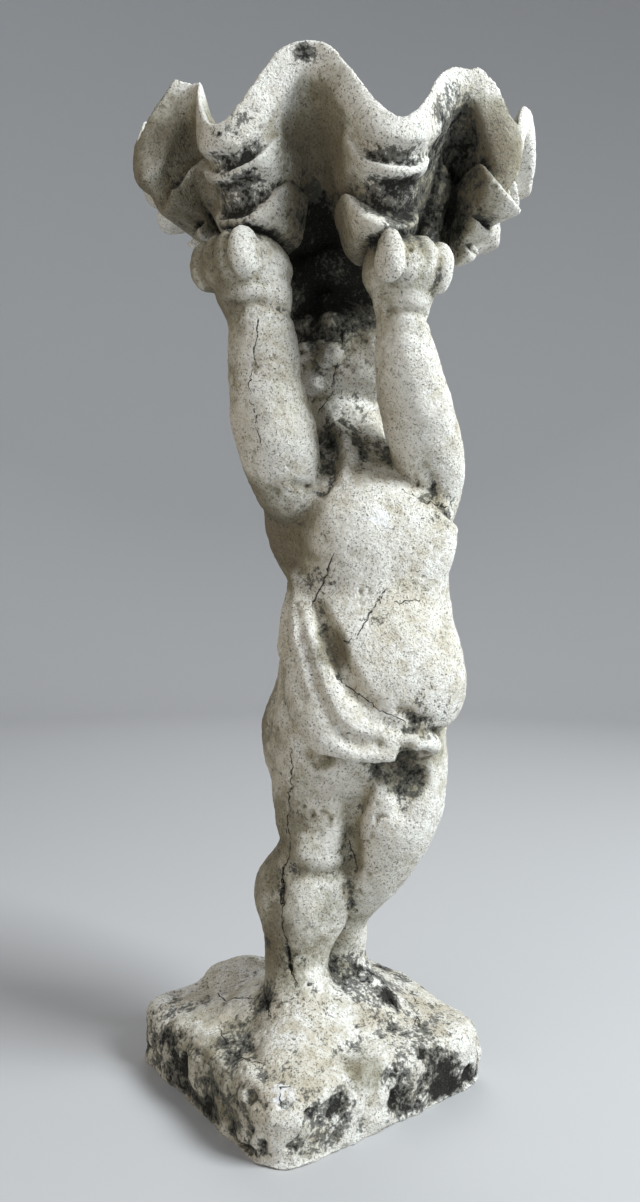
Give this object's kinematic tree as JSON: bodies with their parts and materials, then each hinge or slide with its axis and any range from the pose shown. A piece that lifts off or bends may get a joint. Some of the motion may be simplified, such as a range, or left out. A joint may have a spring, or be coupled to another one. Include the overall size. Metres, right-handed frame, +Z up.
{
  "type": "garden statue of a cherub holding a shell",
  "caption": "Weathered cast stone child on a square plinth, holding a fluted clam shell bowl overhead, with a band of drapery round the hips.",
  "frame": {"origin": "centre of the plinth's underside", "axes": "+Z up; the plinth's edges run along X and Y; the child faces between -Y and -X, towards one corner of the plinth"},
  "size_m": [0.2632, 0.2659, 0.6348],
  "materials": {
    "cast_stone": "matt sandy cast stone with worn pale limewash, grey lichen specks and brown-black grime in the hollows"
  },
  "bodies": {
    "root": {"cherub_statue": "cast_stone"}
  },
  "joints": []
}
